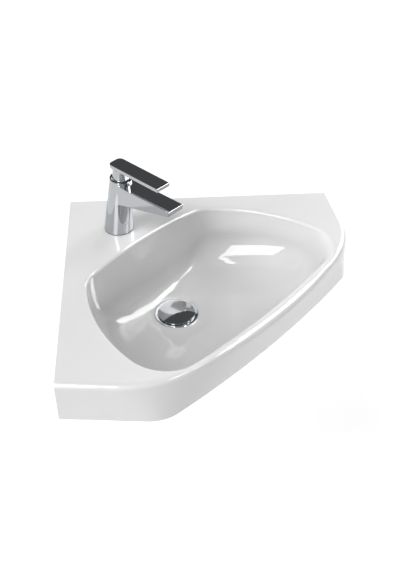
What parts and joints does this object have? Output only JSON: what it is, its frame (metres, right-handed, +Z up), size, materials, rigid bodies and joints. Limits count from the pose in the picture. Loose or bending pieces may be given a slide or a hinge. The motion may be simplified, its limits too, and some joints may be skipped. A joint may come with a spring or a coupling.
{
  "type": "corner basin",
  "caption": "Wall-hung corner basin of glazed ceramic with a bowed front, a leaning single lever tap on the corner deck and a press plug waste.",
  "frame": {"origin": "corner where the two wall planes meet, at the height of the rim", "axes": "+X along the back wall, -Y along the left wall towards the user, +Z up"},
  "size_m": [0.4596, 0.4596, 0.3273],
  "materials": {
    "glaze": "glossy white glaze",
    "chrome": "polished chrome on brass",
    "brass": "machined",
    "rubber": "matt",
    "plastic": "moulded",
    "steel": "plain",
    "alumina": "lapped"
  },
  "bodies": {
    "basin": {"basin": "glaze", "tap_body": "chrome", "tap_gasket": "rubber", "cartridge_seal": "rubber", "cartridge_base": "plastic", "fixed_disc": "alumina", "cartridge_housing": "plastic", "cartridge_nut": "brass", "aerator_shell": "chrome", "aerator_core": "plastic", "aerator_seal": "rubber", "tap_stud": "brass", "rubber_shoe": "rubber", "steel_shoe": "steel", "stud_nut": "brass", "waste_flange": "chrome", "waste_seal": "rubber", "taper_seal": "rubber", "waste_washer": "plastic", "waste_nut": "brass", "plug_barrel": "plastic", "plug_spring": "steel", "plug_spider": "plastic"},
    "rotor": {"cartridge_rotor": "plastic", "lever_pin": "steel"},
    "lever": {"lever_spindle": "brass", "lever_handle": "chrome", "lever_screw": "steel", "lever_plug": "plastic"},
    "disc": {"disc_carrier": "plastic", "moving_disc": "alumina"},
    "plug": {"plug_cap": "chrome", "plug_seal": "rubber", "plug_stem": "brass"}
  },
  "joints": [
    {"name": "temperature_turn", "type": "hinge", "parent": "basin", "child": "rotor", "pos_m": [0.08415, -0.08415, 0], "axis": [0.0862, -0.0862, 0.9925], "range_deg": [-45, 45]},
    {"name": "flow_lift", "type": "hinge", "parent": "rotor", "child": "lever", "pos_m": [0.09268, -0.09268, 0.09826], "axis": [-0.7071, -0.7071, 0], "range_deg": [0, 20]},
    {"name": "disc_slide", "type": "slide", "parent": "rotor", "child": "disc", "axis": [0.7018, -0.7018, -0.1219], "range_m": [0, 0.0042]},
    {"name": "plug_press", "type": "slide", "parent": "basin", "child": "plug", "axis": [0, 0, 1], "range_m": [0, 0.008], "deforming": ["plug_spring"]}
  ],
  "couplings": [
    {"joint": "disc_slide", "follows": "flow_lift", "m_per_rad": 0.01176}
  ]
}
